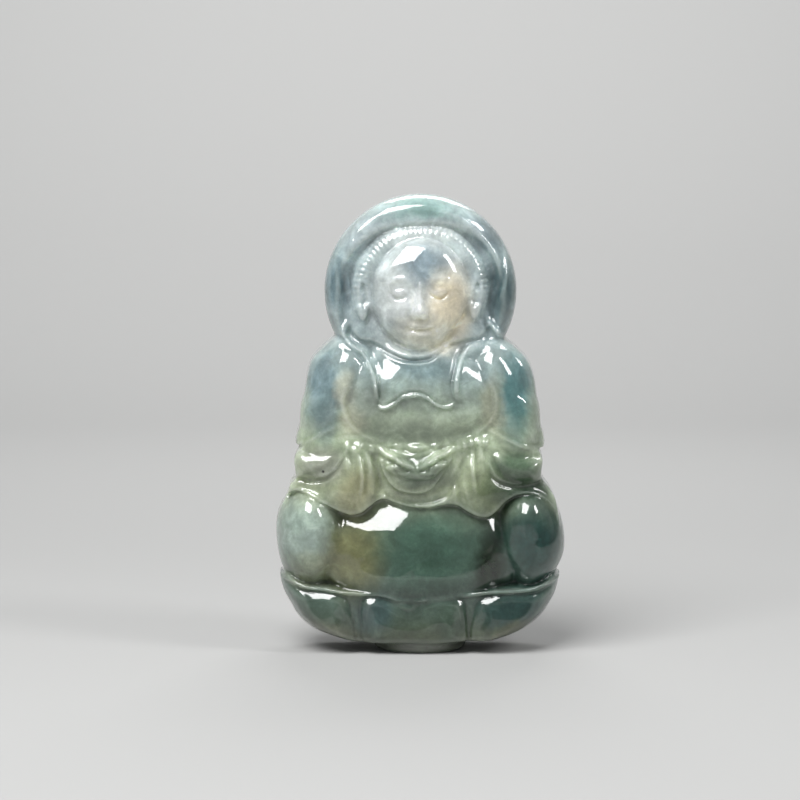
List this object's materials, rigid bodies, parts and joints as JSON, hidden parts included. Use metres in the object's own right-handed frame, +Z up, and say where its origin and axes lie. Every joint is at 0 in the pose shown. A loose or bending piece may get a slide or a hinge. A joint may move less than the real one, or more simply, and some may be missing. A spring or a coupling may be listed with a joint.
{
  "type": "jade figurine",
  "caption": "Seated, hooded figure in meditation on a lotus seat, carved in relief from one flat-backed piece of icy green-blue jade, on a small oval foot.",
  "frame": {"origin": "middle of the underside of the small oval foot, in the plane half way along the foot's depth", "axes": "+Z up the figure to the top of the hood, -Y the way the figure faces, +Y out of the flat back, +X to the right of someone who looks at the figure's front"},
  "size_m": [0.0384, 0.0115, 0.06],
  "materials": {
    "jade": "polished"
  },
  "bodies": {
    "root": {"back_slab": "jade", "belly": "jade", "chest": "jade", "cuff_left": "jade", "cuff_right": "jade", "drape_left": "jade", "drape_right": "jade", "ear_left": "jade", "ear_right": "jade", "foot": "jade", "hair": "jade", "hand_left": "jade", "hand_right": "jade", "head": "jade", "hood": "jade", "knee_left": "jade", "knee_right": "jade", "lap": "jade", "lapel_left": "jade", "lapel_right": "jade", "neck": "jade", "petal_between_left": "jade", "petal_between_right": "jade", "petal_left": "jade", "petal_middle": "jade", "petal_right": "jade", "sleeve_left": "jade", "sleeve_lining_left": "jade", "sleeve_lining_right": "jade", "sleeve_right": "jade", "thigh_left": "jade", "thigh_right": "jade", "veil_fold_left": "jade", "veil_fold_right": "jade", "waist": "jade"}
  },
  "joints": []
}
